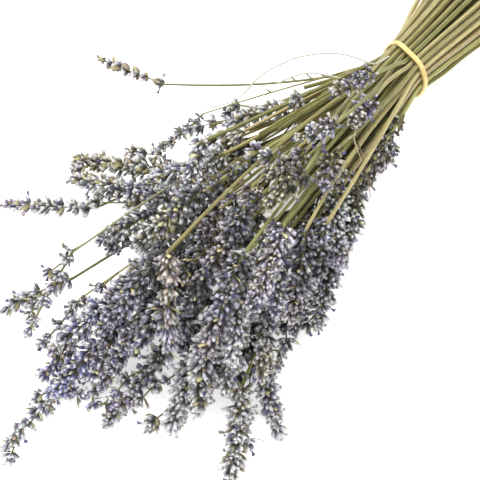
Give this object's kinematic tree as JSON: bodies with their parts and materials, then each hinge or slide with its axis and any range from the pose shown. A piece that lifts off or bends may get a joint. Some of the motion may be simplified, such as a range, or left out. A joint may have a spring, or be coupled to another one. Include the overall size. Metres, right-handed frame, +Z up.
{
  "type": "bunch of dried lavender",
  "caption": "Dried lavender lying on its side: slim straw-green stems held by a cream rubber band, their grey-violet flower spikes fanned out in a loose mound.",
  "frame": {"origin": "middle of the flat underside of the rubber band, on the surface that the bunch lies on", "axes": "+Z up from the surface; the flower spikes fan out towards -Y and the cut ends of the stems point to +Y; +X is to the left when looking from the cut ends towards the spikes"},
  "size_m": [0.1962, 0.3565, 0.0605],
  "materials": {
    "stems": "dry, straw to olive green, dull",
    "flowers": "dry, grey-violet, matte",
    "rubber_band": "smooth, pale cream yellow"
  },
  "bodies": {
    "root": {"stems_layer_1": "stems", "stems_layer_2": "stems", "stems_layer_3": "stems", "stems_layer_4": "stems", "stems_layer_5": "stems", "stems_layer_6": "stems", "stems_layer_7": "stems", "spike_01": "flowers", "spike_02": "flowers", "spike_03": "flowers", "spike_04": "flowers", "spike_05": "flowers", "spike_06": "flowers", "spike_07": "flowers", "spike_08": "flowers", "spike_09": "flowers", "spike_10": "flowers", "spike_11": "flowers", "spike_12": "flowers", "spike_13": "flowers", "spike_14": "flowers", "spike_15": "flowers", "spike_16": "flowers", "spike_17": "flowers", "spike_18": "flowers", "spike_19": "flowers", "spike_20": "flowers", "spike_21": "flowers", "spike_22": "flowers", "spike_23": "flowers", "spike_24": "flowers", "spike_25": "flowers", "spike_26": "flowers", "spike_27": "flowers", "spike_28": "flowers", "spike_29": "flowers", "spike_30": "flowers", "spike_31": "flowers", "spike_32": "flowers", "spike_33": "flowers", "spike_34": "flowers", "spike_35": "flowers", "spike_36": "flowers", "spike_37": "flowers", "spike_38": "flowers", "spike_39": "flowers", "spike_40": "flowers", "spike_41": "flowers", "spike_42": "flowers", "spike_43": "flowers", "spike_44": "flowers", "spike_45": "flowers", "spike_46": "flowers", "spike_47": "flowers", "spike_48": "flowers", "spike_49": "flowers", "spike_50": "flowers", "spike_51": "flowers", "rubber_band": "rubber_band"}
  },
  "joints": []
}
